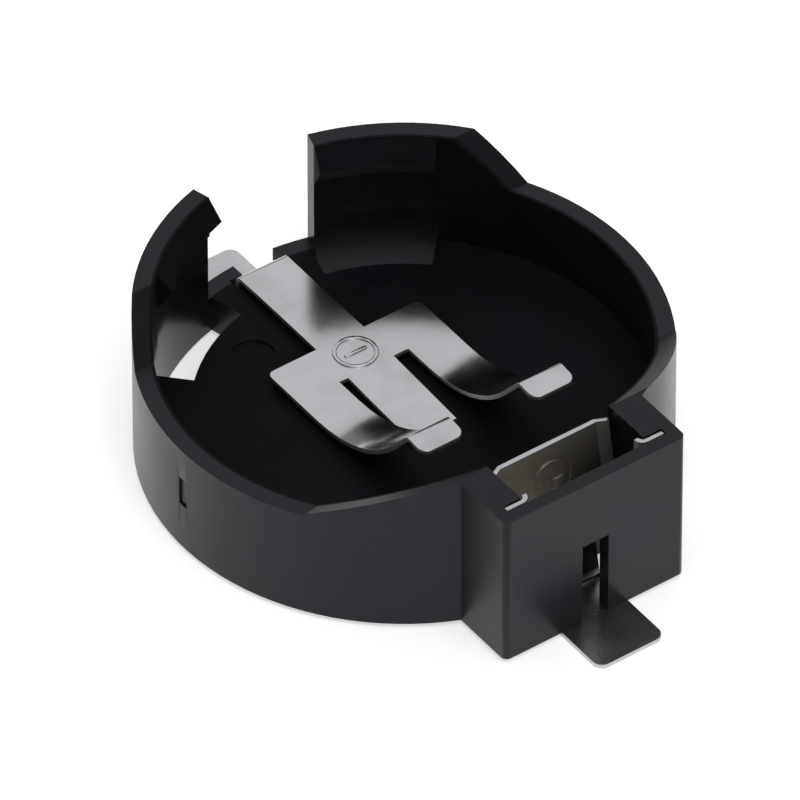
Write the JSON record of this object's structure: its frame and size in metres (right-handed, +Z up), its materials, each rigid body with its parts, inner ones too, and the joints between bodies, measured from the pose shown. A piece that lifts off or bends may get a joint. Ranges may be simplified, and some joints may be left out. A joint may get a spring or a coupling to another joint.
{
  "type": "surface-mount coin cell holder",
  "caption": "Round open holder that takes a flat coin cell from above, snaps it under two ears and solders flat on a board by a tab at each end",
  "frame": {"origin": "on the board, midway between the outer ends of the two solder tabs and between the two sides", "axes": "+X towards the box with the upright contact, +Y across, +Z up off the board"},
  "size_m": [0.0294, 0.022, 0.0077],
  "materials": {
    "moulding": "moulded black thermoplastic, semi-matt with a fine grain",
    "contact_metal": "nickel-plated spring sheet, smooth with a faint rolling grain"
  },
  "bodies": {
    "root": {"housing": "moulding", "negative_contact": "contact_metal", "positive_contact": "contact_metal"}
  },
  "joints": []
}
